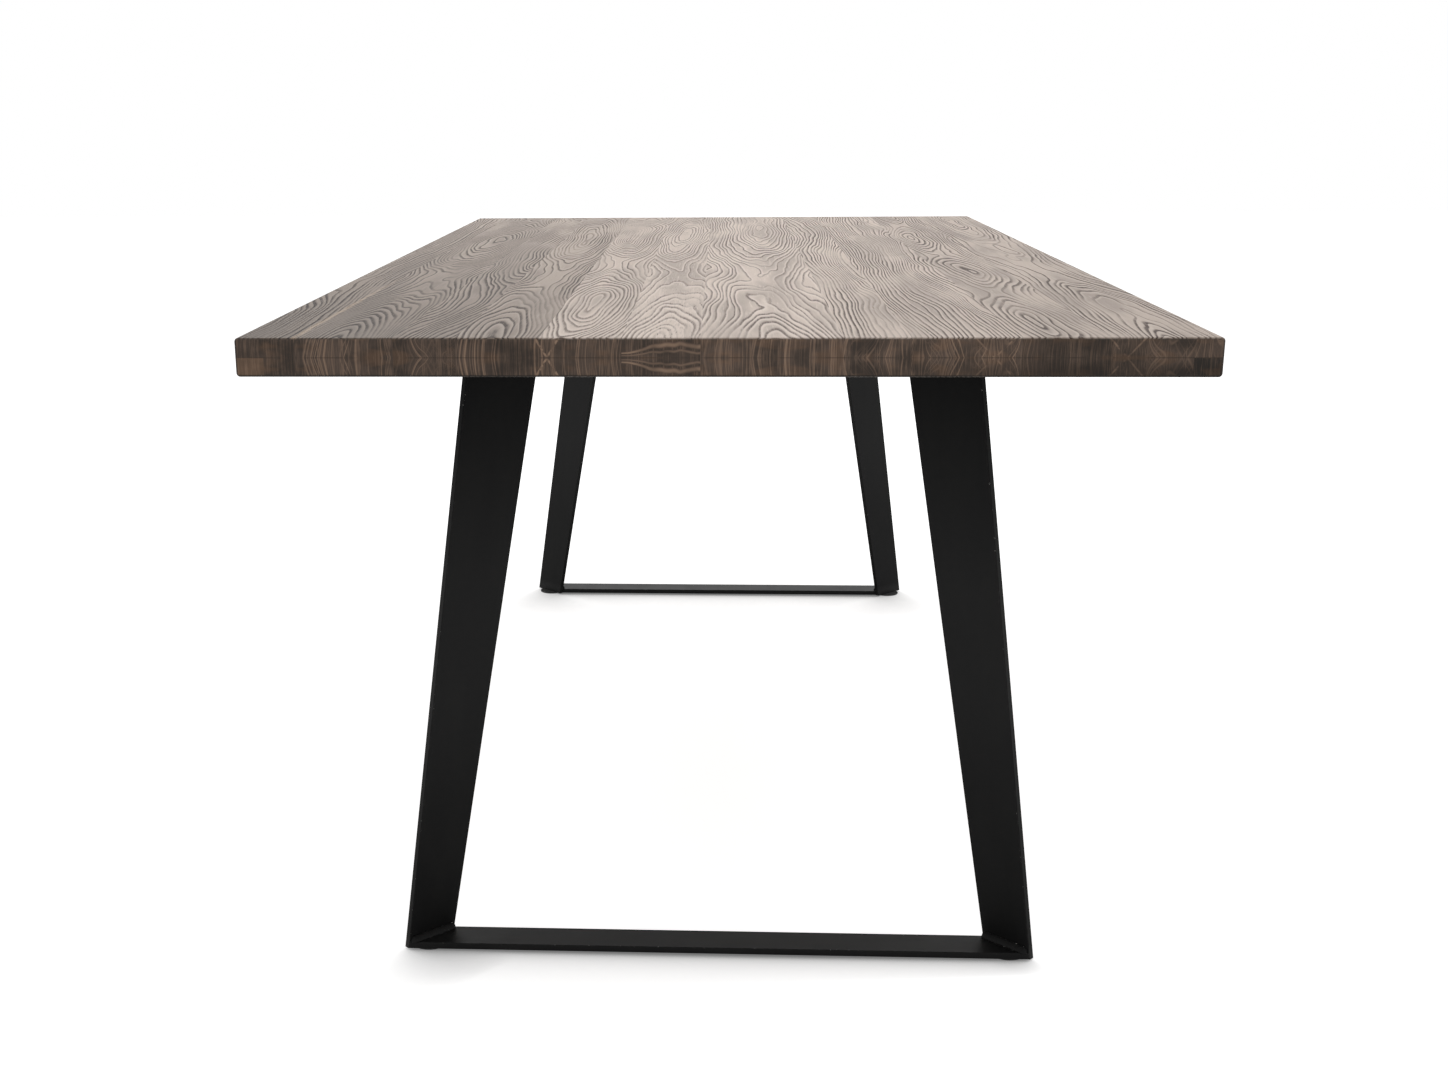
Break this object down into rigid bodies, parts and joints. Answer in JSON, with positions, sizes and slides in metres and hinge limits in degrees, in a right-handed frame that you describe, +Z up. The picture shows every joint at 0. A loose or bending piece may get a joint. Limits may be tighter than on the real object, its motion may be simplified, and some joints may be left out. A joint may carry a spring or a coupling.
{
  "type": "dining table",
  "caption": "Rectangular oak dining table with a thickened rim on welded U-shaped frames of tapered black steel plates set at an angle in plan.",
  "frame": {"origin": "on the floor under the middle of the top", "axes": "+X across the table to the right seen from the front end, +Y along the table from the front end to the rear end, +Z up"},
  "size_m": [1, 2, 0.75],
  "materials": {
    "oak": "grey-brown oil, satin",
    "black_steel": "matt black powder coat",
    "zinc_steel": "zinc plated",
    "glide_rubber": "matt"
  },
  "bodies": {
    "root": {"top_board_01": "oak", "top_board_02": "oak", "top_board_03": "oak", "top_board_04": "oak", "top_board_05": "oak", "top_board_06": "oak", "top_board_07": "oak", "top_board_08": "oak", "top_board_09": "oak", "top_board_10": "oak", "top_board_11": "oak", "left_edge_strip": "oak", "right_edge_strip": "oak", "front_end_strip": "oak", "rear_end_strip": "oak", "front_left_leg_plate": "black_steel", "front_left_mount_plate": "black_steel", "front_left_glide": "glide_rubber", "front_right_leg_plate": "black_steel", "front_right_mount_plate": "black_steel", "front_right_glide": "glide_rubber", "rear_left_leg_plate": "black_steel", "rear_left_mount_plate": "black_steel", "rear_left_glide": "glide_rubber", "rear_right_leg_plate": "black_steel", "rear_right_mount_plate": "black_steel", "rear_right_glide": "glide_rubber", "front_foot_bar": "black_steel", "front_weld_beads": "black_steel", "rear_foot_bar": "black_steel", "rear_weld_beads": "black_steel", "mount_bolts": "zinc_steel", "mount_washers": "zinc_steel", "threaded_inserts": "zinc_steel"}
  },
  "joints": []
}
